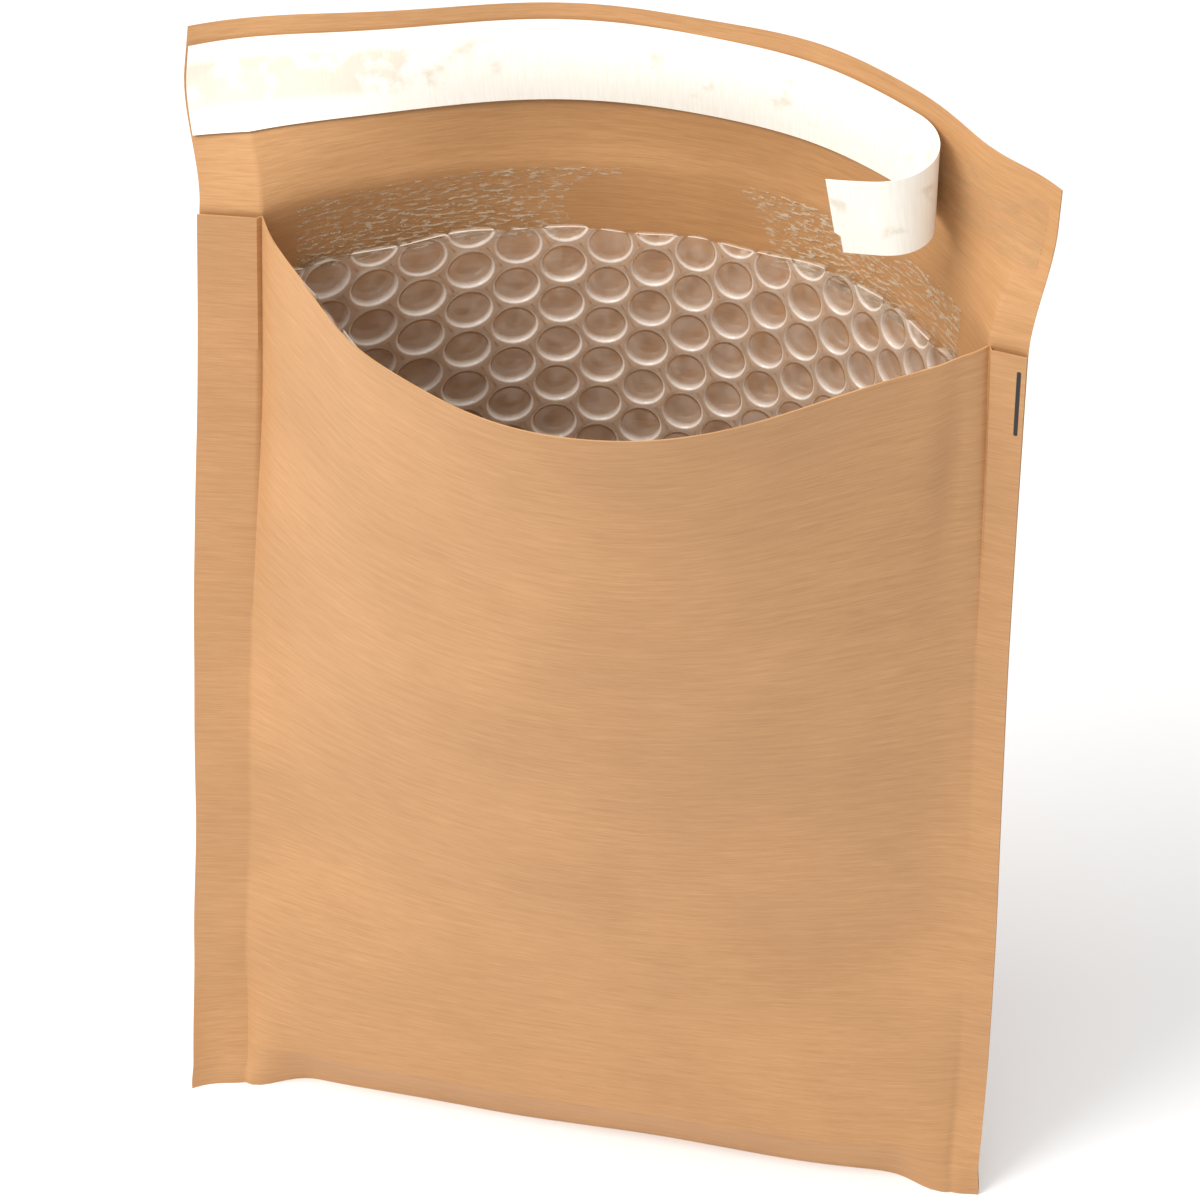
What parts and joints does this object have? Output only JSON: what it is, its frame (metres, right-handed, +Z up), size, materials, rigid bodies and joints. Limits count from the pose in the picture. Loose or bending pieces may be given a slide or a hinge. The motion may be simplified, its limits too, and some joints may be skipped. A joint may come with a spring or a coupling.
{
  "type": "padded mailing envelope",
  "caption": "Kraft padded envelope standing open on its folded bottom, lined with bubble film, its flap up and the release liner curling off the adhesive strip.",
  "frame": {"origin": "bottom centre of the whole envelope's box, on the surface that it stands on", "axes": "+Z up from the folded bottom to the flap, -Y out of the front panel, +X to the right seen from the front"},
  "size_m": [0.1988, 0.0906, 0.3061],
  "materials": {
    "kraft_paper": "matte brown kraft with fine level fibres",
    "bubble_film": "clear polyethylene film with round air bubbles",
    "hot_melt_glue": "clear, glossy, slightly yellow",
    "adhesive": "clear and tacky",
    "liner": "smooth white siliconised paper"
  },
  "bodies": {
    "root": {"kraft_jacket": "kraft_paper", "bubble_lining": "bubble_film", "left_seam_glue": "hot_melt_glue", "right_seam_glue": "hot_melt_glue", "back_lining_glue": "hot_melt_glue", "front_lining_glue": "hot_melt_glue", "flap_adhesive": "adhesive", "release_liner": "liner"}
  },
  "joints": []
}
